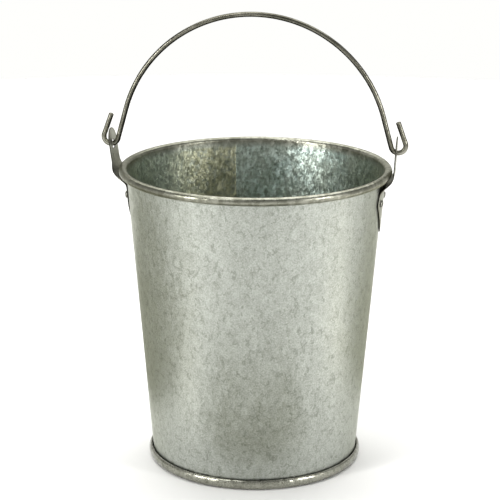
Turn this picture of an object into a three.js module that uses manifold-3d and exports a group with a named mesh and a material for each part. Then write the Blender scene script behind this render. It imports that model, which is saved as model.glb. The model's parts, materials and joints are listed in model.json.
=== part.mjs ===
// Small galvanised florist bucket: a rolled sheet-steel cone with a wired rim, a stamped base whose
// edge is rolled up as the foot ring, two riveted ears, and a wire bail that swings in them.
// Millimetres, +Z up. The origin is the centre of the foot, on the surface the bucket stands on.
// The ears stand on the X axis, and the bail swings about a line along X through their holes.

import * as THREE from "three";
import { mergeVertices } from "three/addons/utils/BufferGeometryUtils.js";
import Module from "manifold-3d";

const { clamp, degToRad, lerp, smoothstep } = THREE.MathUtils;

// ---------------------------------------------------------------- driving dimensions
const HEIGHT = 127; // foot to the top of the rim
const RIM_R = 57; // outside of the rim bead
const BEAD_R = 1.7; // section radius of the rim bead
const TAPER = degToRad(4.75); // lean of the wall
const SHEET = 0.35; // thickness of the body and base sheet
const FIT_GAP = 0.15; // between sheets that lie on each other
const RIM_WIRE_R = 1.1; // wire inside the rim bead
const CURL_END = degToRad(-126); // where the curled edge stops beside the wall

const FLOOR_Z = 4.6; // top face of the floor
const FLOOR_BEND = 1.1; // rounding between the floor and its skirt
const FOOT_R = 45.6; // outside of the foot ring
const FOOT_H = 4; // height of the foot ring
const FOOT_BEND = 0.45; // rounding between the skirt and the flat under the foot
const FOOT_ROLL = 0.9; // how far the rolled edge bulges, from its flat to the ring's outside
const WALL_END_Z = 0.9; // lower edge of the wall, inside the foot ring

const SEAM_ANGLE = degToRad(107); // inner edge of the lap seam
const LAP = 5; // overlap of the two edges of the body sheet
const JOGGLE = 2; // length of the offset before the overlap
const SEAM_TOP = HEIGHT - 8; // above this the seam is hammered flat for the rim bead

const EAR_T = 0.45; // thickness of the ears
const EAR_TIP_HALF = 0.9; // half width of the ear at the plate's tip and at the crown
const EAR_PLATE_HALF = 12; // half width of the plate at its corners
const EAR_NECK_HALF = 11; // half width of the plate just under the rim
const EAR_STRAP_HALF = 5.6; // half width of the strap
const EAR_TIP_DROP = 26.5; // tip of the plate below the rim
const EAR_CORNER_DROP = 13.2; // corners of the plate below the rim
const EAR_KINK_DROP = 7.6; // where the ear leaves the wall
const EAR_NECK_DROP = 6.6; // where the plate starts to narrow to the strap
const EAR_STRAP_DROP = 1; // where it has narrowed to the strap
const EAR_BEND_DROP = 3.4; // where the ear turns up again
const EAR_BEND = 1.6; // reach of each bend along the ear
const EAR_TOP_RISE = 6.8; // crown of the strap above the hinge line
const EAR_HOLE_R = 1.9;

const RIVET_HALF_SPACING = 7.6;
const RIVET_DROP = 12.6; // rivets below the rim
const RIVET_SHANK_R = 0.75;
const RIVET_HEAD_R = 1.5;
const RIVET_HEAD_H = 0.8;
const RIVET_TAIL_R = 1.35;
const RIVET_TAIL_H = 0.55;
const RIVET_SEAT = 0.12; // clearance under each head

const HINGE_RISE = 7.2; // hinge line above the rim
const HINGE_HALF = 59.4; // ears' holes from the middle of the bail
const BAIL_SHIFT = -1; // the left ear is bent out a little further than the right one
const WIRE_R = 1.05; // bail wire
const ARCH_R = 55.8; // radius of the bail's arch
const LEG_ANGLE = degToRad(15.5); // where the arch passes into the straight legs
const HOOK_R = 3.05; // bend radius of the hooks, on the wire's axis
const HOOK_LEAN = degToRad(20); // lean of the hooks' free ends
const HOOK_END = 9.4; // straight length of the free ends

const ROUND = 64; // segments round the bucket
const ROUND_SMALL = 12; // segments round a rivet or a hole
const BEND_POINTS = 3; // points on each bend of a section
const WIRE_SIDES = 10;
const WIRE_STEPS = 84;
const EAR_COLUMNS = 6;
const EAR_ROWS = 28;

const HINGE_Z = HEIGHT + HINGE_RISE;
const DRILL = 10 * EAR_T; // length of the drills that cut the round holes
const EARS = {
  left: { side: -1, lean: degToRad(8), twist: degToRad(3.5) },
  right: { side: 1, lean: degToRad(3), twist: 0 },
};

// ---------------------------------------------------------------- materials
const steel = (color, roughness) => new THREE.MeshStandardMaterial({ color, roughness, metalness: 0.9 });
const zincSheet = steel(0xb4b7b0, 0.42);
const zincBase = steel(0x9fa19a, 0.42);
const zincEar = steel(0xbcbeb6, 0.4);
const rivetSteel = steel(0x8d8f88, 0.4);
const drawnWire = steel(0x85857a, 0.38);

// ---------------------------------------------------------------- solids
const wasm = await Module();
wasm.setup();

// A closed three.js geometry as a solid, with its shared vertices merged.
function solid(geometry) {
  const bare = geometry.clone();
  bare.deleteAttribute("normal");
  bare.deleteAttribute("uv");
  const merged = mergeVertices(bare, 1e-4);
  return new wasm.Manifold(
    new wasm.Mesh({
      numProp: 3,
      vertProperties: new Float32Array(merged.attributes.position.array),
      triVerts: new Uint32Array(merged.index.array),
    }),
  );
}

function geometryOf(body) {
  const { vertProperties, triVerts } = body.getMesh();
  const geometry = new THREE.BufferGeometry();
  geometry.setAttribute("position", new THREE.BufferAttribute(vertProperties, 3));
  geometry.setIndex(new THREE.BufferAttribute(triVerts, 1));
  geometry.computeVertexNormals();
  return geometry;
}

function piece(name, geometry, material) {
  const mesh = new THREE.Mesh(geometry, material);
  mesh.name = name;
  return mesh;
}

// ---------------------------------------------------------------- the bucket's outline
// The wall's inner face touches the rim bead's circle, so the bead settles where the wall stands.
const BEAD = new THREE.Vector2(RIM_R - BEAD_R, HEIGHT - BEAD_R);
const TOUCH_R = BEAD.x - BEAD_R * Math.cos(TAPER);
const TOUCH_Z = BEAD.y + BEAD_R * Math.sin(TAPER);
const SHEET_ACROSS = SHEET / Math.cos(TAPER); // the sheet's thickness, measured level
const wallInnerR = (z) => TOUCH_R - (TOUCH_Z - z) * Math.tan(TAPER);
const wallMiddleR = (z) => wallInnerR(z) + SHEET_ACROSS / 2;
const wallOuterR = (z) => wallInnerR(z) + SHEET_ACROSS;

// The outline of a sheet whose middle line is the list of points: one face, then the other.
function sheetSection(points, thickness) {
  const right = [];
  const left = [];
  points.forEach((point, i) => {
    const before = point.clone().sub(points[Math.max(i - 1, 0)]);
    const after = points[Math.min(i + 1, points.length - 1)].clone().sub(point);
    const inside = before.lengthSq() > 0 && after.lengthSq() > 0;
    const turn = inside ? before.angleTo(after) : 0;
    const along = before.normalize().add(after.normalize()).normalize();
    const reach = thickness / 2 / Math.cos(turn / 2); // a mitre keeps the sheet's thickness
    const across = new THREE.Vector2(-along.y, along.x).multiplyScalar(reach);
    right.push(point.clone().sub(across));
    left.push(point.clone().add(across));
  });
  return [...right, ...left.reverse()];
}

// A section turned about three's +Y, which is then stood up as +Z.
function turned(section, segments) {
  return new THREE.LatheGeometry(section, segments).rotateX(Math.PI / 2);
}

// ---------------------------------------------------------------- body_shell
// How far each face of the sheet is lifted by the lap, at an angle past the seam's inner edge. The
// sheet's outer edge climbs over the inner one along the joggle, lies on it, and ends.
const LAP_SPAN = LAP / wallOuterR(HEIGHT / 2);
const JOGGLE_SPAN = JOGGLE / wallOuterR(HEIGHT / 2);
const EDGE_SPAN = 0.002; // a cut edge of the sheet, as an angle
const climb = (a) => clamp((a + JOGGLE_SPAN) / (JOGGLE_SPAN - EDGE_SPAN), 0, 1);
const innerLift = (a) => (a < 0 ? climb(a) : 0);
const outerLift = (a) => (a < LAP_SPAN ? climb(a) : 0);

// The turned sheet's rings stand close together at the seam's edges and evenly elsewhere.
function ringAngles() {
  const seam = [-JOGGLE_SPAN, -EDGE_SPAN, EDGE_SPAN, LAP_SPAN - EDGE_SPAN, LAP_SPAN + EDGE_SPAN];
  const rest = 2 * Math.PI - JOGGLE_SPAN - LAP_SPAN - EDGE_SPAN;
  const even = Array.from({ length: ROUND }, (_, i) => LAP_SPAN + EDGE_SPAN + (rest * (i + 1)) / ROUND);
  return [...seam, ...even];
}

function bodyShell() {
  const middle = new THREE.Path();
  middle.moveTo(wallMiddleR(WALL_END_Z), WALL_END_Z);
  middle.lineTo(wallMiddleR(SEAM_TOP), SEAM_TOP);
  middle.absarc(BEAD.x, BEAD.y, BEAD_R - SHEET / 2, Math.PI - TAPER, CURL_END, true);
  const section = sheetSection(middle.getPoints(2 * BEND_POINTS), SHEET);
  section.push(section[0].clone());

  const angles = ringAngles();
  const geometry = new THREE.LatheGeometry(section, angles.length - 1);
  const at = geometry.attributes.position;
  for (let k = 0; k < at.count; k += 1) {
    const point = section[k % section.length];
    const angle = angles[Math.floor(k / section.length)];
    const pastSeam = angle > Math.PI ? angle - 2 * Math.PI : angle;
    const lift = point.x > wallMiddleR(point.y) ? outerLift(pastSeam) : innerLift(pastSeam);
    const r = point.x + (point.y < SEAM_TOP + SHEET ? SHEET_ACROSS * lift : 0);
    at.setXYZ(k, r * Math.cos(SEAM_ANGLE + angle), r * Math.sin(SEAM_ANGLE + angle), point.y);
  }
  return geometry;
}

// ---------------------------------------------------------------- base_pan
// The floor, a skirt that hangs inside the wall, and the edge rolled up outside it as the foot ring.
function basePan() {
  const face = SHEET / 2; // the middle line runs half a thickness inside each face
  const skirtR = (z) => wallInnerR(z) - FIT_GAP - face;
  const floor = FLOOR_Z - face;
  const ringR = FOOT_R - face;
  const rollR = ringR - FOOT_ROLL;
  const rollHalf = FOOT_H / 2 - face;
  const middle = new THREE.Path();
  middle.moveTo(0, floor);
  middle.lineTo(skirtR(floor) - FLOOR_BEND, floor);
  middle.quadraticCurveTo(skirtR(floor), floor, skirtR(floor), floor - FLOOR_BEND);
  middle.lineTo(skirtR(0), face + FOOT_BEND);
  middle.quadraticCurveTo(skirtR(0), face, skirtR(0) + FOOT_BEND, face);
  middle.absellipse(rollR, FOOT_H / 2, FOOT_ROLL, rollHalf, -Math.PI / 2, Math.PI / 2, false);
  return turned(sheetSection(middle.getPoints(BEND_POINTS), SHEET), ROUND);
}

// ---------------------------------------------------------------- ears
const holeX = (spec) => HINGE_HALF + spec.side * BAIL_SHIFT;

// The ear's middle line in the upright plane through the bucket's axis: x outwards, y up.
function earLine(spec) {
  const lie = FIT_GAP + EAR_T / 2;
  const onWall = (drop) => new THREE.Vector2(wallOuterR(HEIGHT - drop) + lie, HEIGHT - drop);
  const upright = (z) => new THREE.Vector2(holeX(spec) + (z - HINGE_Z) * Math.tan(spec.lean), z);
  const tip = onWall(EAR_TIP_DROP);
  const kink = onWall(EAR_KINK_DROP);
  const bend = upright(HEIGHT - EAR_BEND_DROP);
  const top = upright(HINGE_Z + EAR_TOP_RISE);
  const line = new THREE.Path();
  line.moveTo(tip.x, tip.y);
  for (const [from, at, to] of [[tip, kink, bend], [kink, bend, top]]) {
    const start = at.clone().lerp(from, EAR_BEND / at.distanceTo(from));
    const end = at.clone().lerp(to, EAR_BEND / at.distanceTo(to));
    line.lineTo(start.x, start.y);
    line.quadraticCurveTo(at.x, at.y, end.x, end.y);
  }
  line.lineTo(top.x, top.y);
  return line;
}

// Half the ear's width where its middle line is at height z.
function earHalfWidth(z) {
  const drop = HEIGHT - z;
  if (drop > EAR_CORNER_DROP) {
    const up = (EAR_TIP_DROP - drop) / (EAR_TIP_DROP - EAR_CORNER_DROP);
    return lerp(EAR_TIP_HALF, EAR_PLATE_HALF, up);
  }
  if (drop > EAR_NECK_DROP) {
    return lerp(EAR_NECK_HALF, EAR_PLATE_HALF, smoothstep(drop, EAR_NECK_DROP, EAR_CORNER_DROP));
  }
  if (drop > 0) {
    return lerp(EAR_STRAP_HALF, EAR_NECK_HALF, smoothstep(drop, EAR_STRAP_DROP, EAR_NECK_DROP));
  }
  const crown = Math.max(z - (HINGE_Z + EAR_TOP_RISE - EAR_STRAP_HALF), 0);
  return Math.sqrt(Math.max(EAR_STRAP_HALF ** 2 - crown ** 2, EAR_TIP_HALF ** 2));
}

// A flat strip bent along the ear's middle line: the plate follows the round wall, and the strap
// above it is flat, with its twist.
function ear(spec) {
  const line = earLine(spec);
  const strip = new THREE.BoxGeometry(2, 1, EAR_T, EAR_COLUMNS, EAR_ROWS, 1);
  const at = strip.attributes.position;
  for (let k = 0; k < at.count; k += 1) {
    const share = (1 - Math.cos(Math.PI * (at.getY(k) + 0.5))) / 2; // rows close up at both ends
    const middle = line.getPointAt(share);
    const along = line.getTangentAt(share);
    const plate = smoothstep(HEIGHT - middle.y, 0, EAR_KINK_DROP);
    const curve = Math.max(plate / middle.x, 1e-6);
    const bent = curve * at.getX(k) * earHalfWidth(middle.y);
    const out = at.getZ(k) * along.y;
    const x = (Math.cos(bent) - 1) / curve + out * Math.cos(bent);
    const y = Math.sin(bent) / curve + out * Math.sin(bent);
    const twist = spec.twist * (1 - plate);
    at.setXYZ(
      k,
      middle.x + x * Math.cos(twist) + y * Math.sin(twist),
      y * Math.cos(twist) - x * Math.sin(twist),
      middle.y - at.getZ(k) * along.x,
    );
  }
  const hole = new THREE.CylinderGeometry(EAR_HOLE_R, EAR_HOLE_R, DRILL, 2 * ROUND_SMALL);
  hole.rotateZ(Math.PI / 2).translate(holeX(spec), 0, HINGE_Z);
  return solid(strip).subtract(solid(hole)).subtract(solid(rivetHole(-1))).subtract(solid(rivetHole(1)));
}

// ---------------------------------------------------------------- rivets
// A rivet stands square to the wall, its own axis outwards from the wall's outer face. end is -1 or
// 1, for the plate's two corners.
function rivetPlace(end) {
  const z = HEIGHT - RIVET_DROP;
  const r = wallOuterR(z);
  return new THREE.Matrix4()
    .makeRotationZ((end * RIVET_HALF_SPACING) / r)
    .multiply(new THREE.Matrix4().makeTranslation(r, 0, z))
    .multiply(new THREE.Matrix4().makeRotationY(Math.PI / 2 + TAPER));
}

function rivetHole(end) {
  const r = RIVET_SHANK_R + FIT_GAP;
  const drill = new THREE.CylinderGeometry(r, r, DRILL, ROUND_SMALL);
  return drill.rotateX(Math.PI / 2).applyMatrix4(rivetPlace(end));
}

function rivet(end) {
  const head = FIT_GAP + EAR_T + RIVET_SEAT;
  const tail = -SHEET - RIVET_SEAT;
  const section = new THREE.Path();
  section.moveTo(0, tail - RIVET_TAIL_H);
  section.lineTo(RIVET_TAIL_R / 2, tail - RIVET_TAIL_H);
  section.quadraticCurveTo(RIVET_TAIL_R, tail - RIVET_TAIL_H, RIVET_TAIL_R, tail);
  section.lineTo(RIVET_SHANK_R, tail);
  section.lineTo(RIVET_SHANK_R, head);
  section.lineTo(RIVET_HEAD_R, head);
  section.quadraticCurveTo(RIVET_HEAD_R, head + RIVET_HEAD_H, 0, head + RIVET_HEAD_H);
  return turned(section.getPoints(BEND_POINTS), ROUND_SMALL).applyMatrix4(rivetPlace(end));
}

// ---------------------------------------------------------------- bail
// Half of the wire's axis, from the top of the arch to the free end: x outwards, y up from the hinge
// line, which the hook's lowest point touches.
function bailHalf() {
  const legTopR = ARCH_R * Math.cos(LEG_ANGLE);
  const legTopY = ARCH_R * Math.sin(LEG_ANGLE);
  const legEndY = HOOK_R - HOOK_R * Math.sin(LEG_ANGLE);
  const legEndR = legTopR + (legTopY - legEndY) * Math.tan(LEG_ANGLE);
  const hookR = legEndR + HOOK_R * Math.cos(LEG_ANGLE);
  const freeR = hookR + HOOK_R * Math.cos(HOOK_LEAN) - HOOK_END * Math.sin(HOOK_LEAN);
  const freeY = HOOK_R + HOOK_R * Math.sin(HOOK_LEAN) + HOOK_END * Math.cos(HOOK_LEAN);
  const half = new THREE.Path();
  half.absarc(0, 0, ARCH_R, Math.PI / 2, LEG_ANGLE, true);
  half.absarc(hookR, HOOK_R, HOOK_R, Math.PI + LEG_ANGLE, 2 * Math.PI + HOOK_LEAN, false);
  half.lineTo(freeR, freeY);
  return half;
}

class BailLine extends THREE.Curve {
  half = bailHalf();

  getPoint(t) {
    const { x, y } = this.half.getPointAt(Math.min(Math.abs(2 * t - 1), 1));
    return new THREE.Vector3(BAIL_SHIFT + (t < 0.5 ? -x : x), 0, HINGE_Z + y);
  }
}

function bail() {
  const section = new THREE.Shape().absarc(0, 0, WIRE_R, 0, 2 * Math.PI);
  return new THREE.ExtrudeGeometry(section, {
    steps: WIRE_STEPS,
    curveSegments: WIRE_SIDES / 2, // a full circle is drawn with twice as many sides
    bevelEnabled: false,
    extrudePath: new BailLine(),
  });
}

// ---------------------------------------------------------------- the bucket
// Ears and rivets are made standing at +X. The left ones stand in a group turned half round.
const bucket = new THREE.Group();
const halfTurn = new THREE.Matrix4().makeRotationZ(Math.PI);
let shell = solid(bodyShell());
for (const [name, spec] of Object.entries(EARS)) {
  const stand = new THREE.Group();
  stand.rotation.z = spec.side < 0 ? Math.PI : 0;
  stand.add(piece(`${name}_ear`, geometryOf(ear(spec)), zincEar));
  for (const [place, end] of [["front", -spec.side], ["back", spec.side]]) {
    stand.add(piece(`${name}_ear_rivet_${place}`, rivet(end), rivetSteel));
    const drill = rivetHole(end);
    shell = shell.subtract(solid(spec.side < 0 ? drill.applyMatrix4(halfTurn) : drill));
  }
  bucket.add(stand);
}
bucket.add(piece("body_shell", geometryOf(shell), zincSheet));

const rimWire = piece("rim_wire", new THREE.TorusGeometry(BEAD.x, RIM_WIRE_R, 6, ROUND), drawnWire);
rimWire.position.z = BEAD.y;
bucket.add(rimWire);
bucket.add(piece("base_pan", basePan(), zincBase));
bucket.add(piece("bail", bail(), drawnWire));

export default bucket;
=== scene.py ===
# %% [markdown]
# # A small galvanised florist bucket
#
# The bucket is a cone of zinc-coated steel sheet with a wired rim, a stamped base rolled up as the
# foot ring, two riveted ears and a wire bail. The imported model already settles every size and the
# hinge. This lesson adds what the light shows up: rounded sheet edges, a true curled bead, the lap
# seam, and the mottled skin of hot-dip zinc. The first cell loads the fixed frame, and every later
# size comes from it or is named beside the piece that needs it.

# %% Load the frame
import json

import bmesh
import bpy
import numpy as np
from mathutils import Matrix, Vector

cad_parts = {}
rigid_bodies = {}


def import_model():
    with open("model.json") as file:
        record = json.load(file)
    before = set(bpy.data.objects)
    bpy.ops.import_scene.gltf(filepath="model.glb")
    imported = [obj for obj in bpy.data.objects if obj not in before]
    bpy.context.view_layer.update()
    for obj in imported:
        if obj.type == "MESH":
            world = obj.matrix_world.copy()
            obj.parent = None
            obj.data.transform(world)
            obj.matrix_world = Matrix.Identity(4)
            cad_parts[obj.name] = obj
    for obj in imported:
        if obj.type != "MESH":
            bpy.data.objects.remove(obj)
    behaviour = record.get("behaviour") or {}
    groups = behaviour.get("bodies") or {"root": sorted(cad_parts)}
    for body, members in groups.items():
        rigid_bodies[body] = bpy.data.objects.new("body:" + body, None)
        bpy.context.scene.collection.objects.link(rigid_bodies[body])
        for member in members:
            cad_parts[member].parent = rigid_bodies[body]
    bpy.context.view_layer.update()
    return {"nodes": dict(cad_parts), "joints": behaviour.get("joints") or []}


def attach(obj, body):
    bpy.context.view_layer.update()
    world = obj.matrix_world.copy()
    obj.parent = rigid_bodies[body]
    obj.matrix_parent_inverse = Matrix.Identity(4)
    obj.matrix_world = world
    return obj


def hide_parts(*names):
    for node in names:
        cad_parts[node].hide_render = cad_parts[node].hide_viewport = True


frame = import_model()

MM = 0.001

# %% [markdown]
# ## Measure the frame
#
# A fine piece has to sit exactly where its plain solid sits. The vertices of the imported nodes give
# the rim, the foot, the floor and the wire, so the sizes are read off them and not typed again.
# All shapes below are worked out in millimetres, and one helper turns them into metres.

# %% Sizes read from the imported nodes
def node_points(name):
    """The vertices of a node, in millimetres, as rows of x, y, z."""
    vertices = frame["nodes"][name].data.vertices
    flat = np.empty(3 * len(vertices), np.float32)
    vertices.foreach_get("co", flat)
    return flat.reshape(-1, 3).astype(float) / MM


def reach(points):
    """Distance of each point from the bucket's axis."""
    return np.hypot(points[:, 0], points[:, 1])


wall_points = node_points("body_shell")
pan_points = node_points("base_pan")
wire_points = node_points("bail")
HEIGHT = wall_points[:, 2].max()
WALL_END_Z = wall_points[:, 2].min()
RIM_R = reach(wall_points).max()
FOOT_R = reach(pan_points).max()
FLOOR_Z = pan_points[reach(pan_points) < RIM_R / 3, 2].max()
HINGE_Z = frame["joints"][0]["pos_m"][2] / MM
WIRE_R = np.ptp(wire_points[:, 1]) / 2
BAIL_X = (wire_points[:, 0].max() + wire_points[:, 0].min()) / 2
print(f"rim {RIM_R:.2f} at {HEIGHT:.1f}, foot {FOOT_R:.2f}, floor {FLOOR_Z:.2f}, hinge {HINGE_Z:.1f}")
print(f"wire radius {WIRE_R:.2f}, bail centred at x {BAIL_X:.2f}")

# %% Sizes of the sheet and its bends
SHEET = 0.35  # thickness of the body and base sheet
BEAD_R = 1.7  # section radius of the rim bead
TAPER = np.radians(4.75)  # lean of the wall
CURL_END = np.radians(-126)  # where the curled edge stops beside the wall
GAP = 0.15  # between sheets that lie on each other
BEAD_X, BEAD_Z = RIM_R - BEAD_R, HEIGHT - BEAD_R
SHEET_ACROSS = SHEET / np.cos(TAPER)


def wall_inner(z):
    """Radius of the wall's inner face: a line that leans by the taper and touches the bead's circle."""
    touch_r = BEAD_X - BEAD_R * np.cos(TAPER)
    touch_z = BEAD_Z + BEAD_R * np.sin(TAPER)
    return touch_r - (touch_z - z) * np.tan(TAPER)


def wall_outer(z):
    """Radius of the wall's outer face."""
    return wall_inner(z) + SHEET_ACROSS


error = reach(wall_points[wall_points[:, 2] < WALL_END_Z + 0.1]).min() - wall_inner(WALL_END_Z)
print(f"the wall formula meets the packed wall's lower edge within {abs(error):.3f} mm")

# %% [markdown]
# ## From arrays to closed meshes
#
# Every piece here is a grid: one parameter runs round a closed section, and the other runs round
# the bucket or along a wire. Blender's Screw or Curve tools could sweep the same sections, but a
# grid keeps each point's two parameters at hand, so seams, dents and masks can be written on them.

# %% Blending, and the faces of a grid
def smooth(value, low, high):
    """Zero below low, one above high, and an S curve between."""
    t = np.clip((value - low) / (high - low), 0, 1)
    return t * t * (3 - 2 * t)


def blend(share, a, b):
    """a where share is zero, b where it is one, and a straight mix between."""
    return a + (b - a) * share


def grid_faces(rows, columns, loop_rows):
    """Four-sided faces of a grid whose columns close on themselves, and whose rows may as well."""
    r = np.arange(rows if loop_rows else rows - 1)[:, None]
    c = np.arange(columns)[None, :]
    below, beside = (r + 1) % rows, (c + 1) % columns
    corners = [r * columns + c, r * columns + beside, below * columns + beside, below * columns + c]
    return np.stack(np.broadcast_arrays(*corners), -1).reshape(-1, 4)


def facing_out(points, faces):
    """The faces, turned over if the volume they close comes out negative."""
    a, b, c, d = (points[faces[:, k]] for k in range(4))
    volume = np.einsum("ij,ij->i", a, np.cross(b, c)) + np.einsum("ij,ij->i", a, np.cross(c, d))
    return faces if volume.sum() > 0 else faces[:, ::-1]


print("a 3 x 4 grid that closes both ways has", len(grid_faces(3, 4, True)), "faces")


# %% A piece from a grid
def close_poles(mesh):
    """Merges each ring of equal points at a pole into one point."""
    shape = bmesh.new()
    shape.from_mesh(mesh)
    bmesh.ops.remove_doubles(shape, verts=shape.verts, dist=1e-7)
    shape.to_mesh(mesh)
    shape.free()


def make_piece(name, grid, loop_rows, body, slot, stands_for, **masks):
    """A mesh object of a grid of points, on its body. Rows that shrink to a point become poles.
    Each mask is stored on the points as an attribute, for the finishes to read."""
    points = grid.reshape(-1, 3)
    faces = facing_out(points, grid_faces(grid.shape[0], grid.shape[1], loop_rows))
    mesh = bpy.data.meshes.new(name)
    mesh.vertices.add(len(points))
    mesh.vertices.foreach_set("co", (points * MM).astype(np.float32).ravel())
    mesh.loops.add(faces.size)
    mesh.loops.foreach_set("vertex_index", faces.astype(np.int32).ravel())
    mesh.polygons.add(len(faces))
    mesh.polygons.foreach_set("loop_start", np.arange(0, faces.size, 4, dtype=np.int32))
    mesh.polygons.foreach_set("use_smooth", np.ones(len(faces), bool))
    mesh.update(calc_edges=True)
    for mask, values in masks.items():
        attribute = mesh.attributes.new(mask, "FLOAT", "POINT")
        spread = np.broadcast_to(values, grid.shape[:2]).ravel().astype(np.float32)
        attribute.data.foreach_set("value", spread)
    piece = bpy.data.objects.new(name, mesh)
    bpy.context.scene.collection.objects.link(piece)
    if not loop_rows:
        close_poles(mesh)
    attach(piece, body)
    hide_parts(stands_for)
    print(f"{name}: {len(mesh.polygons)} faces for {stands_for}")
    return piece


# %% Lines, bends and the outline of a sheet
EDGE_POINTS = 5  # points on each rounded cut edge


def arc(centre, radius, start, end, count):
    """Points on a circle from one angle to another, as rows of two numbers."""
    t = np.linspace(start, end, count)
    return np.stack([centre[0] + radius * np.cos(t), centre[1] + radius * np.sin(t)], 1)


def line(start, end, count):
    """Evenly spaced points from start towards end, without the end itself."""
    t = np.arange(count)[:, None] / count
    return np.array(start) + t * (np.array(end) - np.array(start))


def bend(start, corner, end, count):
    """A quadratic curve: it leaves start towards the corner and reaches end from the corner."""
    t = np.arange(count)[:, None] / count
    start, corner, end = map(np.array, (start, corner, end))
    return (1 - t) ** 2 * start + 2 * t * (1 - t) * corner + t**2 * end


def directions(chain):
    """The unit direction of a chain of points at each one: its gradient over the gradient's length."""
    along = np.gradient(chain, axis=0)
    return along / np.linalg.norm(along, axis=1)[:, None]


def lengths(chain):
    """The length along a chain of points up to each one: the running sum of its steps."""
    return np.concatenate([[0], np.cumsum(np.linalg.norm(np.diff(chain, axis=0), axis=1))])


def sheet_section(middle, thickness):
    """The closed outline of a sheet round its middle line. Each point moves half a thickness along
    the line's normal, to one side and then the other, and half circles round the cut edges off."""
    along = directions(middle)
    across = np.stack([along[:, 1], -along[:, 0]], 1) * thickness / 2
    turn = np.linspace(0, np.pi, EDGE_POINTS + 2)[1:-1, None]
    far_edge = middle[-1] + np.cos(turn) * across[-1] + np.sin(turn) * along[-1] * thickness / 2
    near_edge = middle[0] - np.cos(turn) * across[0] - np.sin(turn) * along[0] * thickness / 2
    return np.concatenate([middle + across, far_edge, (middle - across)[::-1], near_edge])


# %% [markdown]
# ## The body: one sheet, rolled, lapped and curled
#
# A tinsmith rolls the flat blank into a cone, lays one edge over the other, and curls the top
# outwards round a wire. Turning a section round the axis gives the cone and the curl at once. The
# lap is a step on that surface: the outer edge climbs over the inner one along a short joggle. A
# hand-fed roller never leaves a perfect cone, so slow waves of a few hundredths of a millimetre are
# added to both faces. They are too small to measure, and yet they bend each reflection a little.

# %% The lap seam and the roller's waves
SEAM_ANGLE = np.radians(107)
LAP, JOGGLE = 5, 2  # overlap of the sheet's edges, and the length of the offset before it
LAP_SPAN = LAP / wall_outer(HEIGHT / 2)
JOGGLE_SPAN = JOGGLE / wall_outer(HEIGHT / 2)
EDGE_SPAN = 0.001
SEAM_FADE = (HEIGHT - 8, HEIGHT - 5)  # the seam is hammered flat for the bead
WAVE = 0.05  # height of the roller's waves
WAVE_START, WAVE_END = (6, 22), (HEIGHT - 12, HEIGHT - 4)  # heights where the waves set in and end


def ring_angles(count):
    """Angles past the seam's inner edge: close together at the lap, and even round the rest."""
    climb = np.linspace(-JOGGLE_SPAN, -EDGE_SPAN, 6)
    lap = np.linspace(EDGE_SPAN, LAP_SPAN - EDGE_SPAN, 8)
    rest = np.linspace(LAP_SPAN + EDGE_SPAN, 2 * np.pi - JOGGLE_SPAN, count + 1)[:-1]
    return np.concatenate([climb, lap, rest])


def past_seam(angle):
    """The angle past the seam's inner edge, from minus to plus half a turn."""
    return (angle + np.pi) % (2 * np.pi) - np.pi


def lap_lift(angle, outer):
    """How far a face is lifted, as a share of the sheet: it rises along the joggle, and the inner
    face drops back at the seam, while the outer one stays up until the lap ends."""
    past = past_seam(angle)
    climb = np.clip((past + JOGGLE_SPAN) / (JOGGLE_SPAN - EDGE_SPAN), 0, 1)
    return climb * np.where(outer, past < LAP_SPAN, past < 0)


def roller_waves(angle, z, seed):
    """A sum of slow waves round and up the cone, with seeded directions and phases."""
    rng = np.random.default_rng(seed)
    total = np.zeros(np.broadcast(angle, z).shape)
    for _ in range(9):
        around, upward, phase = rng.integers(2, 10), rng.uniform(-0.09, 0.09), rng.uniform(0, 2 * np.pi)
        total += np.cos(around * angle + upward * z + phase) / around**0.5
    return total / 3


print(f"the lap covers {np.degrees(LAP_SPAN):.1f} degrees, after {np.degrees(JOGGLE_SPAN):.1f} of joggle")


# %% The bucket's wall
def seam_stain(angle):
    """How much olive tint the inside takes: full past the seam, and half as much from 0.75 radians on.
    On the seam's other side there is none at first, and it grows towards the ear."""
    past = past_seam(angle)
    return np.where(past > 0, 1 - 0.5 * smooth(past, 0.3, 0.75), 0.8 * smooth(-past, 0.9, 1.7))


def wall():
    """The section turned round the axis: radius = section radius + lap lift + waves."""
    lower = line((wall_inner(WALL_END_Z) + SHEET_ACROSS / 2, WALL_END_Z),
                 (wall_inner(BEAD_Z) + SHEET_ACROSS / 2, BEAD_Z), 44)
    curl = arc((BEAD_X, BEAD_Z), BEAD_R - SHEET / 2, np.pi - TAPER, CURL_END, 30)
    section = sheet_section(np.concatenate([lower, curl]), SHEET)
    angle = ring_angles(460)[None, :]
    r, z = section[:, :1], section[:, 1:]
    outer = r > wall_inner(z) + SHEET_ACROSS / 2
    fade = 1 - smooth(z, *SEAM_FADE)
    free = smooth(z, *WAVE_START) * (1 - smooth(z, *WAVE_END))
    radius = r + SHEET_ACROSS * fade * lap_lift(angle, outer) + WAVE * free * roller_waves(angle, z, 5)
    turned = SEAM_ANGLE + angle
    grid = np.stack(np.broadcast_arrays(radius * np.cos(turned), radius * np.sin(turned), z), -1)
    bead = smooth(z, BEAD_Z - BEAD_R - 0.6, BEAD_Z - BEAD_R + 0.6)
    inside = np.where(outer, 0.0, 1.0) * (1 - bead)
    return make_piece("bucket_wall", grid, True, "bucket", "zinc_sheet", "body_shell",
                      inside=inside, bead=bead, stain=seam_stain(angle) * inside)


bucket_wall = wall()

# %% [markdown]
# ## The base: one stamping that is floor and foot
#
# The base is pressed like a shallow lid: a flat floor, a skirt that hangs inside the wall, and an
# edge rolled up outside it as the foot ring. A solid ring with a disc would be quicker, but it would
# lose the dark slit between the ring and the wall, which is what makes the foot look rolled.

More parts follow.
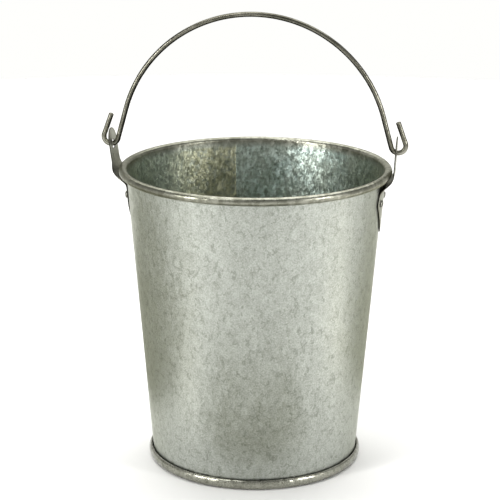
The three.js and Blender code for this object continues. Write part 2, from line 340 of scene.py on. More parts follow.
# %% The middle line of the base
FLOOR_BEND, FOOT_BEND = 1.1, 0.45  # rounding at the skirt's upper and lower end
FOOT_H, FOOT_ROLL = 4, 0.9  # height of the foot ring, and how far it bulges
SPUN_LIFT = 0.1  # rise and fall of the rolled edge, as on a spun one


def skirt_r(z):
    """Radius of the skirt's middle line, which hangs just inside the wall."""
    return wall_inner(z) - GAP - SHEET / 2


def base_line():
    """From the floor's centre to the rolled edge: the floor, a bend, the skirt, a bend, the flat that
    stands on the table, and half an ellipse up round the outside."""
    half = SHEET / 2
    floor = FLOOR_Z - half
    skirt_top, skirt_foot, roll_r = skirt_r(floor), skirt_r(0), FOOT_R - half - FOOT_ROLL
    turn = np.linspace(-np.pi / 2, np.pi / 2, 22)
    return np.concatenate([
        line((0, floor), (skirt_top - FLOOR_BEND, floor), 12),
        bend((skirt_top - FLOOR_BEND, floor), (skirt_top, floor), (skirt_top, floor - FLOOR_BEND), 8),
        line((skirt_top, floor - FLOOR_BEND), (skirt_foot, half + FOOT_BEND), 5),
        bend((skirt_foot, half + FOOT_BEND), (skirt_foot, half), (skirt_foot + FOOT_BEND, half), 8),
        line((skirt_foot + FOOT_BEND, half), (roll_r, half), 3),
        np.stack([roll_r + FOOT_ROLL * np.cos(turn), FOOT_H / 2 + (FOOT_H / 2 - half) * np.sin(turn)], 1),
    ])


print(f"the base is pressed from a disc {2 * lengths(base_line())[-1]:.0f} mm across")


# %% The stamped base
def base():
    """The sheet's section turned round the axis, with waves added to the rolled edge's height."""
    section = sheet_section(base_line(), SHEET)
    section = section[:-EDGE_POINTS]  # both faces end on the axis, so no edge closes them there
    section[[0, -1], 0] = 0
    angle = np.linspace(0, 2 * np.pi, 480, endpoint=False)[None, :]
    r, z = section[:, :1], section[:, 1:]
    rolled = smooth(z, FOOT_H / 2, FOOT_H) * (r > wall_outer(FOOT_H))
    lift = SPUN_LIFT * rolled * roller_waves(angle, np.zeros(1), 11)
    grid = np.stack(np.broadcast_arrays(r * np.cos(angle), r * np.sin(angle), z + lift), -1)
    ring = smooth(r, wall_outer(0), wall_outer(0) + 0.6)
    return make_piece("stamped_base", grid, False, "bucket", "zinc_base", "base_pan", ring=ring)


stamped_base = base()

# %% [markdown]
# ## The ears: a flat strip, bent and pierced
#
# Each ear is punched flat and then bent: its pointed plate follows the round wall, a kink carries it
# out round the bead, and the strap stands up with the hole for the bail. A Boolean could cut that
# hole, but it leaves long thin faces. Here the flat pattern is drawn as rays from the hole's edge to
# the outline, so the hole is simply where the rays start. The pattern is then bent into place.

# %% The ear's bent line
EAR_T = 0.45  # thickness
KINK_DROP, BEND_DROP = 7.6, 3.4  # where it leaves the wall and turns up again, below the rim
CROWN_Z = HINGE_Z + 6.8  # top of the strap
EAR_BEND = 1.6  # reach of each bend along the ear
TIP_DROP = 26.5  # the plate's tip below the rim
HINGE_HALF = 59.4  # ears' holes from the middle of the bail
EARS = {
    "left": {"side": -1, "lean": np.radians(8), "twist": np.radians(3.5)},
    "right": {"side": 1, "lean": np.radians(3), "twist": 0.0},
}


def on_wall(drop):
    """A point of the middle line (outwards, up) that lies on the wall, a drop below the rim."""
    return np.array([wall_outer(HEIGHT - drop) + GAP + EAR_T / 2, HEIGHT - drop])


def on_strap(spec, z):
    """A point of the middle line (outwards, up) on the strap, which leans about the bail's hole."""
    hole_x = HINGE_HALF + spec["side"] * BAIL_X
    return np.array([hole_x + (z - HINGE_Z) * np.tan(spec["lean"]), z])


def ear_line(spec):
    """The ear's middle line, from the plate's tip to the crown: straight runs with rounded bends.
    Returns its points (outwards, up) and the length along it to each one."""
    corners = [on_wall(TIP_DROP), on_wall(KINK_DROP),
               on_strap(spec, HEIGHT - BEND_DROP), on_strap(spec, CROWN_Z)]
    points, start = [], corners[0]
    for before, at, after in zip(corners, corners[1:], corners[2:]):
        enter = at + (before - at) * EAR_BEND / np.linalg.norm(before - at)
        leave = at + (after - at) * EAR_BEND / np.linalg.norm(after - at)
        points += [line(start, enter, 60), bend(enter, at, leave, 30)]
        start = leave
    points.append(line(start, corners[-1], 80))
    points = np.concatenate([*points, corners[-1:]])
    return points, lengths(points)


for name, spec in EARS.items():
    print(f"{name} ear: {ear_line(spec)[1][-1]:.1f} mm from tip to crown")

# %% The ear's outline
TIP_HALF, PLATE_HALF, NECK_HALF, STRAP_HALF = 0.9, 12, 11, 5.6  # half widths
CORNER_DROP, NECK_DROP, STRAP_DROP = 13.2, 6.6, 1  # where they are reached, below the rim


def ear_half_width(z):
    """Half the ear's width where its middle line is at height z: a point, a plate, a neck, a strap
    and a round crown."""
    drop = HEIGHT - z
    plate = blend((TIP_DROP - drop) / (TIP_DROP - CORNER_DROP), TIP_HALF, PLATE_HALF)
    neck = blend(smooth(drop, NECK_DROP, CORNER_DROP), NECK_HALF, PLATE_HALF)
    strap = blend(smooth(drop, STRAP_DROP, NECK_DROP), STRAP_HALF, NECK_HALF)
    crown = np.sqrt(np.maximum(STRAP_HALF**2 - np.maximum(z - CROWN_Z + STRAP_HALF, 0) ** 2, 0))
    return np.select([drop > CORNER_DROP, drop > NECK_DROP, drop > 0], [plate, neck, strap], crown)


def ear_outline(spec, count):
    """The pattern's outline as rows of (across, along), evenly spaced, once round from the tip."""
    points, length = ear_line(spec)
    up = length[-1] * np.sin(np.linspace(0, np.pi / 2, 500))  # close together at the round crown
    half = ear_half_width(np.interp(up, length, points[:, 1]))
    side = np.stack([half, up], 1)
    loop = np.concatenate([side, side[::-1] * [-1, 1], side[:1]])
    travelled = lengths(loop)
    at = np.linspace(0, travelled[-1], count, endpoint=False)
    return np.stack([np.interp(at, travelled, loop[:, k]) for k in (0, 1)], 1)


print(f"the plate is {2 * PLATE_HALF} mm wide at its corners and the strap {2 * STRAP_HALF} mm")


# %% Two bent and pierced ears
HOLE_R = 1.9
PUNCH_R = 0.14  # rounding of the punched edges
RAY_POINTS = 26  # points along each ray


def ear_bent(spec, across, along, out):
    """Places the pattern in space: a point follows the middle line, curls round the wall where the
    plate lies on it, and turns with the strap's twist above. The left ear is then turned half round."""
    points, length = ear_line(spec)
    middle_r, middle_z = (np.interp(along, length, points[:, k]) for k in (0, 1))
    slope = directions(points)
    along_r, along_z = (np.interp(along, length, slope[:, k]) for k in (0, 1))
    plate = smooth(HEIGHT - middle_z, 0, KINK_DROP)
    curve = np.maximum(plate / middle_r, 1e-6)
    bent = curve * across
    x = (np.cos(bent) - 1) / curve + out * along_z * np.cos(bent)
    y = np.sin(bent) / curve + out * along_z * np.sin(bent)
    twist = spec["twist"] * (1 - plate)
    placed = np.stack([middle_r + x * np.cos(twist) + y * np.sin(twist),
                       y * np.cos(twist) - x * np.sin(twist),
                       middle_z - out * along_r], -1)
    return placed * [spec["side"], spec["side"], 1]


def ear(name, spec):
    """Rays from the hole to the outline, over one face, round the edge and back over the other."""
    outline = ear_outline(spec, 420)[:, None, :]
    points, length = ear_line(spec)
    hole = np.array([0, np.interp(HINGE_Z, points[:, 1], length)])
    ray = outline - hole
    distance = np.linalg.norm(ray, axis=-1, keepdims=True)
    out, face = np.linspace(0, 1, RAY_POINTS), np.ones(RAY_POINTS)
    turn = np.linspace(np.pi / 2, -np.pi / 2, EDGE_POINTS + 2)[1:-1]
    share = np.concatenate([out, np.ones(EDGE_POINTS), out[::-1], np.zeros(EDGE_POINTS)])
    bulge = np.concatenate([0 * face, np.cos(turn), 0 * face, -np.cos(turn)])
    level = np.concatenate([face, np.sin(turn), -face, np.sin(-turn)])
    travel = HOLE_R + PUNCH_R + share[None, :, None] * (distance - HOLE_R - 2 * PUNCH_R)
    travel = travel + PUNCH_R * bulge[None, :, None]
    pattern = hole + ray / distance * travel
    grid = ear_bent(spec, pattern[..., 0], pattern[..., 1], EAR_T / 2 * level[None, :])
    near_edge = 1 - smooth(np.minimum(share, 1 - share)[None, :] * distance[..., 0], 0, 0.9)
    cut = (bulge != 0)[None, :]
    return make_piece(f"{name}_ear_strip", grid, True, "bucket", "zinc_ear", f"{name}_ear",
                      edge=near_edge, cut=cut)


ear_strips = {name: ear(name, spec) for name, spec in EARS.items()}

# %% [markdown]
# ## The rivets: a shank, a hammered dome and a flattened tail
#
# A rivet is a little turned shape, stood square to the wall. Its dome is set by a hollow punch and
# some hammer blows, so it gets a faint lopsided dent. A stock sphere would look cast, not hammered.

# %% Four ear rivets
RIVET_HALF_SPACING, RIVET_DROP = 7.6, 12.6
HEAD_R, HEAD_H, SHANK_R, TAIL_R, TAIL_H = 1.5, 0.8, 0.75, 1.35, 0.55
SEAT = 0.12  # clearance under each head
DENT = 0.07  # how much the hammer lowers one side of the dome


def rivet(name, side, end, seed):
    """The profile (radius, height) turned about the rivet's own axis, then leaned with the wall and
    turned round the bucket to the plate's corner."""
    head, tail = GAP + EAR_T + SEAT, -SHEET - SEAT
    profile = np.concatenate([
        line((0, tail - TAIL_H), (TAIL_R / 2, tail - TAIL_H), 4),
        bend((TAIL_R / 2, tail - TAIL_H), (TAIL_R, tail - TAIL_H), (TAIL_R, tail), 8),
        line((TAIL_R, tail), (SHANK_R, tail), 3),
        line((SHANK_R, tail), (SHANK_R, head), 4),
        line((SHANK_R, head), (HEAD_R, head), 3),
        bend((HEAD_R, head), (HEAD_R, head + HEAD_H), (0, head + HEAD_H), 14),
        [(0, head + HEAD_H)],
    ])
    angle = np.linspace(0, 2 * np.pi, 40, endpoint=False)[None, :]
    r, h = profile[:, :1], profile[:, 1:]
    rng = np.random.default_rng(seed)
    h = h + DENT * smooth(h, head + 0.1, head + HEAD_H) * np.cos(angle - rng.uniform(0, 6)) * r / HEAD_R
    p, q = r * np.cos(angle), r * np.sin(angle)
    z = HEIGHT - RIVET_DROP
    x_out = wall_outer(z) + h * np.cos(TAPER) + p * np.sin(TAPER)
    z_up = z - h * np.sin(TAPER) + p * np.cos(TAPER)
    turn = end * RIVET_HALF_SPACING / wall_outer(z) + (np.pi if side < 0 else 0)
    grid = np.stack([x_out * np.cos(turn) - q * np.sin(turn),
                     x_out * np.sin(turn) + q * np.cos(turn), z_up], -1)
    return make_piece(f"{name}_set", grid, False, "bucket", "rivet_steel", name)


rivets = []
for name, spec in EARS.items():
    for place, end in (("front", -spec["side"]), ("back", spec["side"])):
        rivets.append(rivet(f"{name}_ear_rivet_{place}", spec["side"], end, len(rivets)))

# %% [markdown]
# ## The bail: one length of drawn wire
#
# The handle is a single wire: a round arch, two straight legs, and a hook at each end that passes
# out through the ear and turns up. A Bezier curve with a bevel would sweep it, but its ends would be
# flat discs. Sweeping the section by hand lets each end taper in over the last half millimetre, as
# cutters leave it, and marks the part of each hook that the ear rubs bright.

# %% The bail's axis
ARCH_R, LEG_ANGLE = 55.8, np.radians(15.5)  # the arch, and where it passes into the straight legs
HOOK_R, HOOK_LEAN, HOOK_END = 3.05, np.radians(20), 9.4  # bend, lean and length of the free ends


def bail_axis():
    """Half of the axis from the top of the arch to the free end, mirrored for the other half. The
    hook's lowest point touches the hinge line."""
    leg_top = ARCH_R * np.array([np.cos(LEG_ANGLE), np.sin(LEG_ANGLE)])
    leg_end_y = HOOK_R - HOOK_R * np.sin(LEG_ANGLE)
    leg_end = np.array([leg_top[0] + (leg_top[1] - leg_end_y) * np.tan(LEG_ANGLE), leg_end_y])
    centre = np.array([leg_end[0] + HOOK_R * np.cos(LEG_ANGLE), HOOK_R])
    hook_end = centre + HOOK_R * np.array([np.cos(HOOK_LEAN), np.sin(HOOK_LEAN)])
    free_end = hook_end + HOOK_END * np.array([-np.sin(HOOK_LEAN), np.cos(HOOK_LEAN)])
    half = np.concatenate([
        arc((0, 0), ARCH_R, np.pi / 2, LEG_ANGLE, 130)[:-1],
        line(leg_top, leg_end, 24),
        arc(centre, HOOK_R, np.pi + LEG_ANGLE, 2 * np.pi + HOOK_LEAN, 56)[:-1],
        line(hook_end, free_end, 24),
        [free_end],
    ])
    return np.concatenate([half[:0:-1] * [-1, 1], half])


print(f"the bail is bent from {lengths(bail_axis())[-1]:.0f} mm of wire")

# %% The bail's wire
CUT = 0.45  # depth of the cutters' bite
CUT_BLUNTNESS = 0.45  # power of the sine that rounds each end; lower is blunter
WORN_REACH = 3.0  # of the rubbed patch on each hook


def bail_wire():
    """Circles carried along the axis: each stands square to it, and the end ones shrink to a point
    as a power of the sine of a quarter turn."""
    axis = bail_axis()
    along, length = directions(axis), lengths(axis)
    turn = np.linspace(0, np.pi / 2, 9)
    cap = np.stack([-CUT * np.cos(turn) + CUT, np.sin(turn) ** CUT_BLUNTNESS], 1)
    keep = (length > CUT + 0.1) & (length < length[-1] - CUT - 0.1)
    at = np.concatenate([cap[:, 0], length[keep], (length[-1] - cap[:, 0])[::-1]])
    size = np.concatenate([cap[:, 1], np.ones(keep.sum()), cap[::-1, 1]])
    centre = np.stack([np.interp(at, length, axis[:, k]) for k in (0, 1)], 1)
    tangent = np.stack([np.interp(at, length, along[:, k]) for k in (0, 1)], 1)
    angle = np.linspace(0, 2 * np.pi, 32, endpoint=False)[None, :]
    in_plane = WIRE_R * size[:, None] * np.cos(angle)
    sideways = WIRE_R * size[:, None] * np.sin(angle)
    x = BAIL_X + centre[:, :1] + tangent[:, 1:] * in_plane
    z = HINGE_Z + centre[:, 1:] - tangent[:, :1] * in_plane
    grid = np.stack([x, sideways, z], -1)
    from_end = np.minimum(at, at[-1] - at)[:, None]
    worn = np.exp(-(((from_end - HOOK_END - HOOK_R * 1.4) / WORN_REACH) ** 2))
    return make_piece("bail_wire", grid, False, "bail", "bail_wire", "bail", worn=worn)


wire = bail_wire()

# %% [markdown]
# ## Finishes
#
# Every metal here is mixed from procedural nodes on Object coordinates, so a pattern keeps its size
# in real millimetres and stays put when the piece moves. A small class keeps the mixing short: it
# adds a node, and feeds each of its sockets a number or another node's output.

# %% A helper for mixing finishes
class Finish:
    """One material, built up node by node round a single Principled shader."""

    def __init__(self, name, metallic=1.0):
        self.material = bpy.data.materials.new(name)
        self.material.use_nodes = True
        self.tree = self.material.node_tree
        self.tree.nodes.clear()
        self.shader = self.add("BsdfPrincipled", Metallic=metallic)
        output = self.tree.nodes.new("ShaderNodeOutputMaterial")
        self.tree.links.new(self.shader.outputs["BSDF"], output.inputs["Surface"])
        self.place = self.add("TexCoord").outputs["Object"]

    def feed(self, socket, value):
        """Links another node's output to the socket, or sets the socket to a number or colour."""
        if isinstance(value, bpy.types.NodeSocket):
            self.tree.links.new(value, socket)
        else:
            socket.default_value = value

    def add(self, kind, settings=None, **inputs):
        """A new node of a kind, with its settings and its named inputs."""
        node = self.tree.nodes.new("ShaderNode" + kind)
        for key, value in (settings or {}).items():
            setattr(node, key, value)
        for key, value in inputs.items():
            self.feed(node.inputs[key.replace("_", " ")], value)
        return node

    def math(self, operation, *values, clamp=False):
        """One sum on numbers, such as MULTIPLY."""
        node = self.add("Math", {"operation": operation, "use_clamp": clamp})
        for socket, value in zip(node.inputs, values):
            self.feed(socket, value)
        return node.outputs[0]

    def vector(self, operation, *values, scale=None):
        """One sum on vectors."""
        node = self.add("VectorMath", {"operation": operation})
        for socket, value in zip(node.inputs, values):
            self.feed(socket, value)
        if scale is not None:
            self.feed(node.inputs["Scale"], scale)
        return node.outputs[0]

    def centred(self, colour):
        """A random colour as a vector, moved so that it leans to every side alike."""
        return self.vector("SUBTRACT", colour, (0.5, 0.5, 0.5))

    def noise(self, size_mm, detail=3.0, place=None, colour=False):
        """Soft noise whose features are about that many millimetres across."""
        node = self.add("TexNoise", Vector=place or self.place, Scale=1 / (size_mm * MM), Detail=detail)
        return node.outputs["Color" if colour else "Fac"]

    def mask(self, name):
        """A mask that was stored on the points."""
        return self.add("Attribute", {"attribute_name": name}).outputs["Fac"]

    def span(self, value, low, high, to_low=0.0, to_high=1.0):
        """value's run from low to high, mapped to another run and held at its ends."""
        node = self.add("MapRange", {"interpolation_type": "SMOOTHSTEP"})
        for socket, number in zip(node.inputs, (value, low, high, to_low, to_high)):
            self.feed(socket, number)
        return node.outputs[0]

    def mix(self, share, a, b):
        """Colour a where share is zero and b where it is one."""
        node = self.add("Mix", {"data_type": "RGBA"})
        for index, value in ((0, share), (6, a), (7, b)):
            self.feed(node.inputs[index], value)
        return node.outputs[2]

    def weighted(self, start, *terms):
        """start plus each (value, weight) pair's product, one after another."""
        total = start
        for value, weight in terms:
            total = self.math("MULTIPLY_ADD", value, weight, total)
        return total

    def finish(self, colour, roughness, normal=None, grazing=None):
        """Feeds the shader and returns the material. A metal with a grazing tint below white
        brightens less where it is seen edge-on, as a dull one does."""
        self.feed(self.shader.inputs["Base Color"], colour)
        self.feed(self.shader.inputs["Roughness"], roughness)
        if normal is not None:
            self.feed(self.shader.inputs["Normal"], normal)
        if grazing is not None:
            self.feed(self.shader.inputs["Specular Tint"], grazing)
        return self.material


def shade(red, green, blue):
    """An opaque colour of linear red, green and blue."""
    return (red, green, blue, 1.0)


# %% [markdown]
# ### Hot-dip zinc
#
# Zinc freezes on the steel as flat crystals a few millimetres across, the spangle. Each crystal
# leans its own way, so it catches the light a little more or less than its neighbours, and a few
# look like dark flecks. A painted grey would miss that. Voronoi cells with ragged borders give the
# crystals: one random number each for lean, colour and roughness. Slow noise adds the drift of the
# dip, and fine noise the grain. The inside, which nothing has rubbed, keeps a stronger frost.

# %% The zinc finish
UPRIGHT = (1, 1, 0.6)  # crystals run a little upright
FROST_LEAN = 0.16  # how far the needles of the frost lean


def zinc(name, light, dark, crystal_mm=1.5, lean=0.08, frost=None, rough=0.36, flecks=0.5):
    """Returns the parts of a zinc finish: the mixer, its colour, roughness and normal. Where the
    mask that frost names is one, needles a third as large lean further than the crystals do."""
    mixer = Finish(name)
    stretched = mixer.vector("MULTIPLY", mixer.place, UPRIGHT)
    shift = mixer.centred(mixer.noise(1.2, 4, stretched, colour=True))
    place = mixer.vector("ADD", stretched, mixer.vector("SCALE", shift, scale=1.6 * crystal_mm * MM))
    crystals = mixer.add("TexVoronoi", Vector=place, Scale=1 / (crystal_mm * MM))
    own = mixer.add("SeparateColor", Color=crystals.outputs["Color"])
    drift = mixer.math("SUBTRACT", mixer.noise(24, 3), 0.5)
    cloud = mixer.math("SUBTRACT", mixer.noise(3.5, 5, stretched), 0.5)
    grain = mixer.math("SUBTRACT", mixer.noise(0.6, 3), 0.5)
    heart = mixer.span(crystals.outputs["Distance"], 0.1, 0.45, 1.0, 0.0)
    fleck = mixer.math("MULTIPLY", mixer.span(own.outputs["Red"], 0.05, 0.13, 1.0, 0.0), heart)
    borders = mixer.add("TexVoronoi", {"feature": "DISTANCE_TO_EDGE"}, Vector=place,
                        Scale=0.55 / (crystal_mm * MM))
    crazed = mixer.math("MULTIPLY", mixer.span(borders.outputs["Distance"], 0.0, 0.11, 1.0, 0.0),
                        mixer.span(mixer.noise(2.6, 2), 0.5, 0.6))
    own_tone = mixer.math("SUBTRACT", own.outputs["Green"], 0.5)
    tone = mixer.weighted(0.62, (drift, 0.3), (cloud, 0.6), (grain, 2.0), (fleck, -flecks),
                          (crazed, -0.6), (own_tone, 0.25))
    colour = mixer.mix(mixer.math("ADD", tone, 0.0, clamp=True), dark, light)
    roughness = mixer.weighted(rough, (drift, 0.12), (grain, 0.12), (own.outputs["Blue"], 0.06),
                               (fleck, 0.08))
    leaning = mixer.vector("SCALE", mixer.centred(crystals.outputs["Color"]), scale=lean)
    facing = mixer.vector("ADD", mixer.add("NewGeometry").outputs["Normal"], leaning)
    if frost:
        needles = mixer.add("TexVoronoi", Vector=place, Scale=3.0 / (crystal_mm * MM))
        depth = mixer.math("MULTIPLY", mixer.mask(frost), FROST_LEAN)
        tilt = mixer.vector("SCALE", mixer.centred(needles.outputs["Color"]), scale=depth)
        facing = mixer.vector("ADD", facing, tilt)
    facing = mixer.vector("NORMALIZE", facing)
    pitted = mixer.add("Bump", Height=grain, Strength=0.12, Distance=0.2 * MM, Normal=facing)
    return mixer, colour, roughness, pitted.outputs["Normal"]


# %% [markdown]
# ### The same zinc on three pieces
#
# The wall, the base and the ears are all zinc, and yet each has its own life. The wall is frosty
# inside and tinted olive round its seam, and its bead is darker and browner, with painted shade
# towards minus X. The foot ring is scuffed where it stands, and painted contact shade darkens it
# there. The ears are plated brighter, and their punched edges show dark. Masks stored on the points
# say where each of these lies, so no picture has to be wrapped round a cone.

# %% The wall's finish
def wall_finish():
    """Zinc: frosty, olive-tinted inside; darker, browner bead with painted shade towards minus X."""
    mixer, colour, roughness, normal = zinc("galvanised_wall", shade(0.366, 0.38, 0.345),
                                            shade(0.205, 0.216, 0.186), frost="inside")
    inside, bead = mixer.mask("inside"), mixer.mask("bead")
    patch = mixer.span(mixer.noise(16, 3), 0.3, 0.7)
    frost = mixer.mix(patch, shade(0.45, 0.51, 0.455), shade(0.45, 0.555, 0.53))
    frost = mixer.mix(mixer.mask("stain"), frost, shade(0.38, 0.378, 0.255))
    crackle = mixer.span(mixer.noise(1.8, 5), 0.42, 0.62)
    frost = mixer.mix(mixer.math("MULTIPLY", crackle, 0.7), frost, shade(0.22, 0.25, 0.215))
    colour = mixer.mix(mixer.math("MULTIPLY", inside, 0.85), colour, frost)
    bead_tone_and_shade = mixer.mix(mixer.span(mixer.noise(2.5, 5), 0.4, 0.62),
                        shade(0.14, 0.139, 0.106), shade(0.25, 0.249, 0.204))
    across = mixer.add("SeparateXYZ", Vector=mixer.place).outputs["X"]
    # Painted shade: the bead is mixed darker towards minus X, on one side of the rim.
    bead_tone_and_shade = mixer.mix(mixer.span(across, -50 * MM, 20 * MM, 0.5, 0.0), bead_tone_and_shade, shade(0.07, 0.07, 0.048))
    colour = mixer.mix(mixer.math("MULTIPLY", bead, 0.92), colour, bead_tone_and_shade)
    roughness = mixer.weighted(roughness, (inside, -0.03), (bead, -0.07))
    return mixer.finish(colour, roughness, normal, grazing=shade(0.85, 0.85, 0.78))


# %% The finishes of the base and the ears
def base_finish():
    """Zinc with painted contact shade darkening the ring where it meets the table, and scuffed there."""
    mixer, colour, roughness, normal = zinc("galvanised_base", shade(0.31, 0.31, 0.262),
                                            shade(0.15, 0.148, 0.118), crystal_mm=1.6, lean=0.14,
                                            rough=0.27)
    height = mixer.add("SeparateXYZ", Vector=mixer.place).outputs["Z"]
    contact_shade_and_scuff = mixer.math("MULTIPLY", mixer.span(height, 0.2 * MM, 1.6 * MM, 1.0, 0.0), mixer.mask("ring"))
    patchy = mixer.math("MULTIPLY", contact_shade_and_scuff, mixer.span(mixer.noise(2.2, 4), 0.35, 0.6))
    # Painted shade: the ring's lowest band, where it meets the table, is mixed darker.
    colour = mixer.mix(mixer.math("MULTIPLY", contact_shade_and_scuff, 0.45), colour, shade(0.14, 0.135, 0.11))
    roughness = mixer.weighted(roughness, (patchy, -0.1))
    return mixer.finish(colour, roughness, normal)


def ear_finish():
    """Brighter plated zinc, rubbed darker towards the punched edges, and nearly black on the cut."""
    mixer, colour, roughness, normal = zinc("plated_ear", shade(0.46, 0.462, 0.415),
                                            shade(0.33, 0.33, 0.285), crystal_mm=3.0, lean=0.04,
                                            rough=0.33, flecks=0.25)
    rubbed = mixer.math("MULTIPLY", mixer.mask("edge"), mixer.span(mixer.noise(1.5, 3), 0.4, 0.6))
    colour = mixer.mix(mixer.math("MULTIPLY", rubbed, 0.6), colour, shade(0.22, 0.215, 0.18))
    colour = mixer.mix(mixer.mask("cut"), colour, shade(0.03, 0.029, 0.022))
    roughness = mixer.weighted(roughness, (rubbed, -0.08))
    return mixer.finish(colour, roughness, normal, grazing=shade(0.55, 0.55, 0.5))


# %% [markdown]
# ### Rivets and wire
#
# The rivets and the two wires are plain steel, darker than the zinc. A smooth grey metal would look
# new. Hammering leaves small dents on a rivet's head, and drawing leaves specks and fine marks on
# wire, so a little bump goes into the normal. The hooks are brighter where the ears rub them.

# %% The steel finishes
def rivet_finish():
    """Dull plated steel with small hammer marks."""
    mixer = Finish("rivet_steel")
    marks = mixer.noise(0.6, 2)
    colour = mixer.mix(mixer.span(mixer.noise(0.9, 3), 0.35, 0.65),
                       shade(0.12, 0.118, 0.1), shade(0.26, 0.255, 0.225))
    dent = mixer.add("Bump", Height=marks, Strength=0.35, Distance=0.15 * MM)
    return mixer.finish(colour, mixer.weighted(0.3, (marks, 0.2)), dent.outputs["Normal"],
                        grazing=shade(0.3, 0.3, 0.27))


def wire_finish(name, with_wear):
    """Drawn wire: darkened, with fine scratches and, where there are any, bright rubbed hooks."""
    mixer = Finish(name)
    tone = mixer.span(mixer.noise(6, 4), 0.3, 0.7)
    colour = mixer.mix(tone, shade(0.08, 0.078, 0.06), shade(0.16, 0.155, 0.125))
    specks = mixer.span(mixer.noise(0.8, 3), 0.56, 0.7)
    colour = mixer.mix(mixer.math("MULTIPLY", specks, 0.6), colour, shade(0.06, 0.057, 0.043))
    roughness = mixer.weighted(0.22, (specks, 0.15), (tone, 0.06))
    if with_wear:
        worn = mixer.mask("worn")
        colour = mixer.mix(mixer.math("MULTIPLY", worn, 0.5), colour, shade(0.36, 0.355, 0.30))
        roughness = mixer.weighted(roughness, (worn, -0.06))
    scratch = mixer.add("Bump", Height=mixer.noise(0.5, 3), Strength=0.2, Distance=0.1 * MM)
    return mixer.finish(colour, roughness, scratch.outputs["Normal"], grazing=shade(0.12, 0.12, 0.1))


# %% [markdown]
# ### Dress the pieces
#
# Each finish is made once and shared by the pieces that are cut from the same stock. The wire inside
# the rim is out of sight and keeps its plain solid, so only its material changes.

# %% Put the finishes on the pieces
bucket_wall.data.materials.append(wall_finish())
stamped_base.data.materials.append(base_finish())
plated = ear_finish()
for strip in ear_strips.values():
    strip.data.materials.append(plated)
hammered = rivet_finish()
for piece in rivets:
    piece.data.materials.append(hammered)
wire.data.materials.append(wire_finish("drawn_bail_wire", True))
rim_wire = frame["nodes"]["rim_wire"]
rim_wire.data.materials.clear()
rim_wire.data.materials.append(wire_finish("drawn_rim_wire", False))
print("finishes:", sorted(m.name for m in bpy.data.materials))

# %% [markdown]
# ## Floor and light
#
# Polished metal shows its surroundings more than itself, so the set is part of the finish. The wall
# leans over the floor and mirrors it. Strips that glow on the floor draw its bright bands, and dark
# cards draw the shaded ones. Two low upright softboxes make the bright patches inside, a large one
# above lights the rim, and a ceiling that is darker than the horizon shades the bead and the wire.
# One sheet of floor can't be bright enough for the mirror and still show a soft shadow, so there
# are two: the camera sees the greyer one, and only reflections see the whiter one just above it.

# %% Where the camera stands, and lamps
AZIMUTH, ELEVATION, ROLL = np.radians(7.75), np.radians(16.0), np.radians(0.2)
UP = Vector((0, 0, 1))
GLOW_Z = 0.001  # height of a glowing strip above the table


def around(turn, distance, height):
    """A place on the set: a turn in degrees to the right of the camera's side, seen from above."""
    angle = AZIMUTH + np.radians(turn)
    return Vector((distance * np.sin(angle), -distance * np.cos(angle), height))


def softbox(name, centre, size, radiance, facing=None, tint=(1, 1, 1)):
    """An area light that faces the bucket, or another way. Its energy is radiance x pi x area."""
    lamp = bpy.data.lights.new(name, "AREA")
    lamp.shape, lamp.size, lamp.size_y = "RECTANGLE", *size
    lamp.energy, lamp.color = radiance * np.pi * size[0] * size[1], tint
    box = bpy.data.objects.new(name, lamp)
    away = centre if facing is None else -facing
    box.matrix_world = Matrix.Translation(centre) @ away.to_track_quat("Z", "Y").to_matrix().to_4x4()
    box.visible_camera = False
    bpy.context.scene.collection.objects.link(box)
    return box


def glow(name, turn, near, far, width, radiance, tint=(1, 1, 1)):
    """A light table that lies on the floor beside the bucket, from near to far, and shines up."""
    centre = around(turn, (near + far) / 2, GLOW_Z)
    box = softbox(name, centre, (width, far - near), radiance, UP, tint)
    face_up = Matrix.Rotation(AZIMUTH + np.radians(turn), 4, "Z") @ Matrix.Rotation(np.pi, 4, "X")
    box.matrix_world = Matrix.Translation(centre) @ face_up


print("a lamp on the camera's side stands at", tuple(round(part, 3) for part in around(0, 1, 0)))

# %% Floor, cards and sky
CARD_Z = 0.0004  # height of the cards above the table
FLOOR_R = 0.9  # radius of the floor, in metres
SKY_TOP = 0.75  # how far up the sky has reached its darkest, where straight up is one


def flat_stage(name, corners, colour):
    """A flat sheet of plain paper through the corners."""
    mesh = bpy.data.meshes.new(name)
    mesh.from_pydata([tuple(corner) for corner in corners], [], [list(range(len(corners)))])
    sheet = bpy.data.objects.new(name, mesh)
    bpy.context.scene.collection.objects.link(sheet)
    paper = Finish(name + "_paper", metallic=0.0)
    sheet.data.materials.append(paper.finish(colour, 0.8))
    return sheet


def mirrored_only(sheet):
    """Leaves a sheet to the reflections: out of the camera's own sight, and it takes no light."""
    sheet.visible_camera = sheet.visible_diffuse = sheet.visible_shadow = False


def pale_disc(name, level, colour):
    """A wide flat disc of paper, just under the foot."""
    turn = np.linspace(0, 2 * np.pi, 64, endpoint=False)
    ring = [FLOOR_R * np.cos(turn), FLOOR_R * np.sin(turn), np.full(turn.size, level)]
    return flat_stage(name, np.stack(ring, 1), colour)


def dark_card(name, turn, near, far, width, colour):
    """A dark card beside the bucket, seen only in reflections: painted shade for the wall to mirror."""
    side = around(turn + 90, 1, 0) * width / 2
    low, high = around(turn, near, CARD_Z), around(turn, far, CARD_Z)
    mirrored_only(flat_stage(name, [low - side, low + side, high + side, high - side], colour))


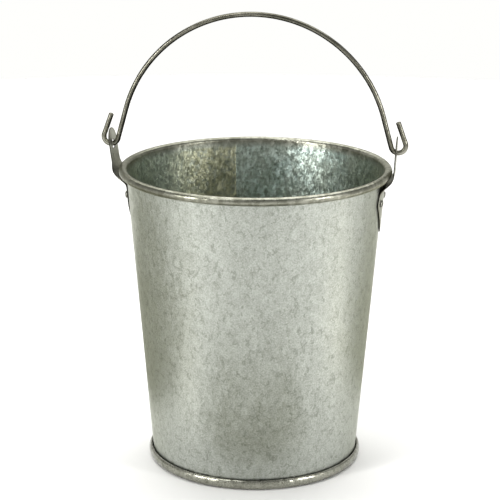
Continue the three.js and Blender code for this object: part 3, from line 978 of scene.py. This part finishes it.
def dome(horizon, zenith):
    """World light that falls from the horizon's brightness to the zenith's."""
    world = bpy.data.worlds.new("studio")
    bpy.context.scene.world = world
    world.use_nodes = True
    tree = world.node_tree
    up = tree.nodes.new("ShaderNodeSeparateXYZ")
    tree.links.new(tree.nodes.new("ShaderNodeTexCoord").outputs["Generated"], up.inputs[0])
    fall = tree.nodes.new("ShaderNodeMapRange")
    tree.links.new(up.outputs["Z"], fall.inputs["Value"])
    fall.inputs["From Max"].default_value = SKY_TOP
    mixed = tree.nodes.new("ShaderNodeMix")
    mixed.data_type = "RGBA"
    tree.links.new(fall.outputs[0], mixed.inputs[0])
    mixed.inputs[6].default_value, mixed.inputs[7].default_value = horizon, zenith
    tree.links.new(mixed.outputs[2], tree.nodes["Background"].inputs["Color"])


pale_disc("floor", -0.0003, shade(0.67, 0.665, 0.65))
mirrored_only(pale_disc("mirrored_floor", -0.0002, shade(0.9, 0.9, 0.9)))
dome(horizon=shade(1.0, 1.0, 0.98), zenith=shade(0.26, 0.27, 0.27))
# Painted shade: dark cards that only reflections see, mirrored by the wall as its shaded bands.
dark_card("left_card", turn=-112, near=0.09, far=0.42, width=0.32, colour=shade(0.32, 0.32, 0.26))
dark_card("right_card", turn=128, near=0.10, far=0.40, width=0.22, colour=shade(0.42, 0.42, 0.35))
dark_card("front_card", turn=0, near=0.062, far=0.13, width=0.14, colour=shade(0.43, 0.43, 0.37))
staged = [thing.name for thing in bpy.data.objects if thing.name.endswith(("floor", "card"))]
print("staged sheets:", sorted(staged))

# %% Turn the lights on
WARM = (1.0, 0.95, 0.85)
softbox("top_softbox", around(180, 0.45, 1.1), size=(1.4, 1.4), radiance=4.0)
softbox("right_softbox", around(56, 0.9, 0.34), size=(0.11, 0.4), radiance=35.0)
softbox("left_softbox", around(-54, 0.9, 0.34), size=(0.11, 0.4), radiance=40.0)
softbox("key_light", around(-42, 0.6, 0.95), size=(0.2, 0.2), radiance=16.0)
glow("right_glow", turn=78, near=0.13, far=0.6, width=0.08, radiance=0.95, tint=WARM)
glow("left_glow", turn=-60, near=0.09, far=0.27, width=0.04, radiance=0.55, tint=WARM)
print("lights:", sorted(lamp.name for lamp in bpy.data.lights))

# %% [markdown]
# ## The camera
#
# The camera looks a little down into the mouth of the bucket, so that the inside shows. A long lens
# from further back keeps the cone's sides nearly straight, where a short one would make the rim
# bulge. The Standard view keeps white paper white, and the filmic views would turn it grey.

# %% The camera
DISTANCE, LENS = 0.760, 129.4  # metres and millimetres
AIM_Z, AIM_RIGHT = 0.0901, -0.0022  # the point it looks at, in metres from the foot's centre


def camera():
    """Stands back from the aim point along the viewing direction and rolls about it."""
    level = np.cos(ELEVATION)
    back = Vector((np.sin(AZIMUTH) * level, -np.cos(AZIMUTH) * level, np.sin(ELEVATION)))
    right = Vector((np.cos(AZIMUTH), np.sin(AZIMUTH), 0))
    up = back.cross(right)
    aim = right * AIM_RIGHT + Vector((0, 0, AIM_Z))
    rolled_right = right * np.cos(ROLL) + up * np.sin(ROLL)
    rolled_up = up * np.cos(ROLL) - right * np.sin(ROLL)
    lens = bpy.data.cameras.new("camera")
    lens.lens, lens.sensor_width = LENS, 36
    view = bpy.data.objects.new("camera", lens)
    turned = Matrix((rolled_right, rolled_up, back)).transposed().to_4x4()
    view.matrix_world = Matrix.Translation(aim + back * DISTANCE) @ turned
    bpy.context.scene.collection.objects.link(view)
    bpy.context.scene.camera = view


camera()
bpy.context.scene.view_settings.view_transform = "Standard"
print(f"camera {DISTANCE:.2f} m away, {np.degrees(ELEVATION):.0f} degrees up, {LENS} mm lens")
